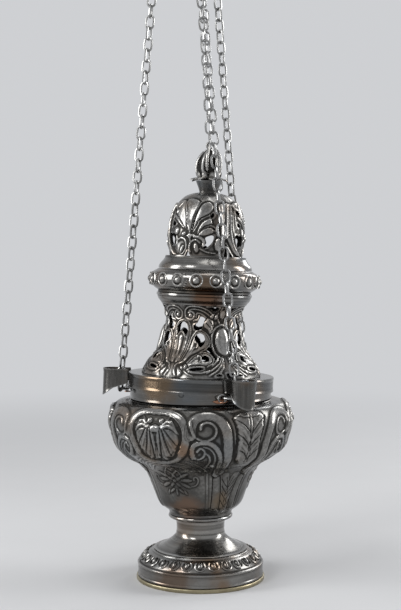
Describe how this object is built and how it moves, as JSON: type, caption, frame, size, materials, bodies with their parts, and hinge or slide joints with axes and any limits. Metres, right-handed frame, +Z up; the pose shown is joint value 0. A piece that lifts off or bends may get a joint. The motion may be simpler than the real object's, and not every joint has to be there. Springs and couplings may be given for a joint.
{
  "type": "censer",
  "caption": "Footed hanging censer: bulging bowl with inner fire pan, tall pierced lid sliding on three chains with side guides, top plate with carrying ring and lid pull ring.",
  "frame": {"origin": "centre of the foot's underside", "axes": "+Z up along the bowl's axis towards the carrying ring, +X to the viewer's right in the picture, +Y away from the viewer"},
  "size_m": [0.1183, 0.1157, 0.4316],
  "materials": {
    "silver": "tarnished silver plate over brass, polished on the high parts",
    "chain_silver": "grey silver plate, worn",
    "bare_brass": "satin, aged",
    "copper_toned": "plating worn through to a copper tone",
    "iron": "blackened, matt"
  },
  "bodies": {
    "bowl_and_handle": {"foot_edge_ring": "bare_brass", "foot_shell": "silver", "stem": "silver", "bowl_collar_ring": "silver", "bowl": "silver", "rim_collar": "silver", "stem_bolt": "bare_brass", "bolt_washer": "bare_brass", "stem_nut": "bare_brass", "fire_pan": "iron", "chain_eye_1": "copper_toned", "chain_eye_2": "copper_toned", "chain_eye_3": "copper_toned", "eye_ring_1": "chain_silver", "eye_ring_2": "chain_silver", "eye_ring_3": "chain_silver", "handle_plate": "silver", "handle_post": "silver", "plate_eye_1": "chain_silver", "plate_eye_2": "chain_silver", "plate_eye_3": "chain_silver"},
    "lid": {"lid_band": "silver", "chain_guide_1": "silver", "chain_guide_2": "silver", "chain_guide_3": "silver", "pierced_skirt": "silver", "knop": "silver", "flared_collar": "silver", "cupola": "silver", "finial_cup": "silver", "leaf_collar": "silver", "finial_bud": "silver", "finial_eye": "silver", "finial_nut": "bare_brass", "lid_chain": "chain_silver"},
    "chain_1_lower": {"hook_link_1": "chain_silver", "support_chain_lower_1": "chain_silver"},
    "chain_1_upper": {"support_chain_upper_1": "chain_silver"},
    "chain_2_lower": {"hook_link_2": "chain_silver", "support_chain_lower_2": "chain_silver"},
    "chain_2_upper": {"support_chain_upper_2": "chain_silver"},
    "chain_3_lower": {"hook_link_3": "chain_silver", "support_chain_lower_3": "chain_silver"},
    "chain_3_upper": {"support_chain_upper_3": "chain_silver"},
    "suspension_ring": {"suspension_ring": "silver"},
    "pull_ring": {"pull_ring": "silver"}
  },
  "joints": [
    {"name": "lid_lift", "type": "slide", "parent": "bowl_and_handle", "child": "lid", "axis": [0, 0, 1], "range_m": [0, 0.07]},
    {"name": "chain_1_foot", "type": "hinge", "parent": "bowl_and_handle", "child": "chain_1_lower", "pos_m": [0.01496, -0.04567, 0.1178], "axis": [0.7135, 0.7007, 0], "range_deg": [0, 7.4]},
    {"name": "chain_1_bend", "type": "hinge", "parent": "chain_1_lower", "child": "chain_1_upper", "pos_m": [0.01446, -0.03829, 0.1998], "axis": [0.7135, 0.7007, 0], "range_deg": [-10.5, 0]},
    {"name": "chain_2_foot", "type": "hinge", "parent": "bowl_and_handle", "child": "chain_2_lower", "pos_m": [0.03207, 0.03579, 0.1178], "axis": [-0.8037, 0.595, 0], "range_deg": [0, 7.3]},
    {"name": "chain_2_bend", "type": "hinge", "parent": "chain_2_lower", "child": "chain_2_upper", "pos_m": [0.02267, 0.03354, 0.1998], "axis": [-0.8037, 0.595, 0], "range_deg": [-10.2, 0]},
    {"name": "chain_3_foot", "type": "hinge", "parent": "bowl_and_handle", "child": "chain_3_lower", "pos_m": [-0.04703, 0.00987, 0.1178], "axis": [0.1057, -0.9944, 0], "range_deg": [0, 5]},
    {"name": "chain_3_bend", "type": "hinge", "parent": "chain_3_lower", "child": "chain_3_upper", "pos_m": [-0.04364, 0.00474, 0.1998], "axis": [0.1057, -0.9944, 0], "range_deg": [-7, 0]},
    {"name": "suspension_ring_swing", "type": "hinge", "parent": "bowl_and_handle", "child": "suspension_ring", "pos_m": [-0.0074, 0, 0.4053], "axis": [0, 1, 0], "range_deg": [-80, 5]},
    {"name": "pull_ring_swing", "type": "hinge", "parent": "lid", "child": "pull_ring", "pos_m": [-0.0005, 0, 0.4046], "axis": [0, 1, 0], "range_deg": [-5, 80]}
  ],
  "couplings": [
    {"joint": "chain_1_foot", "follows": "lid_lift", "rad_per_m": 1.8058},
    {"joint": "chain_1_bend", "follows": "lid_lift", "rad_per_m": -2.5617},
    {"joint": "chain_2_foot", "follows": "lid_lift", "rad_per_m": 1.7603},
    {"joint": "chain_2_bend", "follows": "lid_lift", "rad_per_m": -2.4968},
    {"joint": "chain_3_foot", "follows": "lid_lift", "rad_per_m": 1.1948},
    {"joint": "chain_3_bend", "follows": "lid_lift", "rad_per_m": -1.6924}
  ]
}
